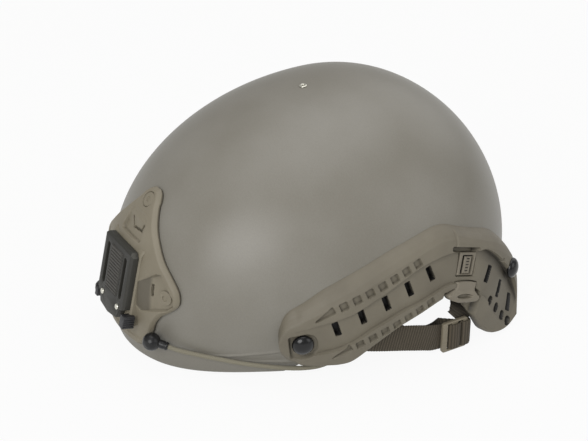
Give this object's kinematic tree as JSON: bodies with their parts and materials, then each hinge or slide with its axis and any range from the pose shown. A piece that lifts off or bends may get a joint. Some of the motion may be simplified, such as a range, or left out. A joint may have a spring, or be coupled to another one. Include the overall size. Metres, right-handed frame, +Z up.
{
  "type": "combat helmet",
  "caption": "High-cut protective helmet shell with a front mounting shroud, side accessory rails with strap plugs, elastic cords, chin strap and liner pads.",
  "frame": {"origin": "middle of the footprint on the plane the brim stands on", "axes": "+Z up, the wearer faces -Y, +X to the wearer's left"},
  "size_m": [0.2576, 0.2944, 0.1585],
  "materials": {
    "shell_paint": "satin",
    "rail_polymer": "matte",
    "shroud_polymer": "matte",
    "plate_metal": "matte",
    "plate_rubber": "matte",
    "bright_metal": "satin",
    "zinc_steel": "satin",
    "black_metal": "gloss",
    "black_polymer": "satin",
    "hook_polymer": "gloss",
    "cord_fabric": "woven",
    "webbing_brown": "woven",
    "webbing_dark": "woven",
    "buckle_polymer": "satin",
    "cup_rubber": "matte",
    "pad_fabric": "brushed",
    "hook_tape": "matte"
  },
  "bodies": {
    "helmet": {"shell": "shell_paint", "crown_rivet": "bright_metal", "shroud_frame": "shroud_polymer", "shroud_plate": "plate_metal", "shroud_pad": "plate_rubber", "shroud_rivets": "bright_metal", "shroud_covers": "shroud_polymer", "shroud_screws": "zinc_steel", "shroud_nuts": "zinc_steel", "rail_left": "rail_polymer", "rail_right": "rail_polymer", "insert_left": "rail_polymer", "insert_right": "rail_polymer", "rail_screws": "black_metal", "rail_nuts": "zinc_steel", "bungee_left": "cord_fabric", "bungee_right": "cord_fabric", "hook_left": "hook_polymer", "hook_right": "hook_polymer", "strap_front_left": "webbing_brown", "strap_front_right": "webbing_brown", "strap_rear_left": "webbing_dark", "strap_rear_right": "webbing_dark", "slider_left": "buckle_polymer", "slider_right": "buckle_polymer", "chin_strap_left": "webbing_brown", "chin_strap_right": "webbing_brown", "chin_cup": "cup_rubber", "buckle_female": "buckle_polymer", "buckle_male": "buckle_polymer", "pad_front": "pad_fabric", "pad_rear": "pad_fabric", "pad_left": "pad_fabric", "pad_right": "pad_fabric", "pad_rear_left": "pad_fabric", "pad_rear_right": "pad_fabric", "pad_crown": "pad_fabric", "pad_patches": "hook_tape"},
    "catch_left": {"catch_left": "black_polymer"},
    "catch_right": {"catch_right": "black_polymer"},
    "plug_left": {"plug_left": "rail_polymer"},
    "plug_right": {"plug_right": "rail_polymer"},
    "latch_left": {"latch_left": "rail_polymer"},
    "latch_right": {"latch_right": "rail_polymer"}
  },
  "joints": [
    {"name": "catch_left_slide", "type": "slide", "parent": "helmet", "child": "catch_left", "axis": [1, 0, 0], "range_m": [0, 0.0024], "stiffness_N_per_m": 600},
    {"name": "plug_left_slide", "type": "slide", "parent": "helmet", "child": "plug_left", "axis": [0.1878, -0.2985, -0.9358], "range_m": [0, 0.022]},
    {"name": "latch_left_press", "type": "hinge", "parent": "helmet", "child": "latch_left", "pos_m": [0.11969, 0.05709, 0.07001], "axis": [-0.1113, 0.9401, -0.3222], "range_deg": [0, 5], "stiffness_Nm_per_rad": 0.2},
    {"name": "catch_right_slide", "type": "slide", "parent": "helmet", "child": "catch_right", "axis": [-1, 0, 0], "range_m": [0, 0.0024], "stiffness_N_per_m": 600},
    {"name": "plug_right_slide", "type": "slide", "parent": "helmet", "child": "plug_right", "axis": [-0.1878, -0.2985, -0.9358], "range_m": [0, 0.022]},
    {"name": "latch_right_press", "type": "hinge", "parent": "helmet", "child": "latch_right", "pos_m": [-0.11969, 0.05709, 0.07001], "axis": [-0.1113, -0.9401, 0.3222], "range_deg": [0, 5], "stiffness_Nm_per_rad": 0.2}
  ]
}
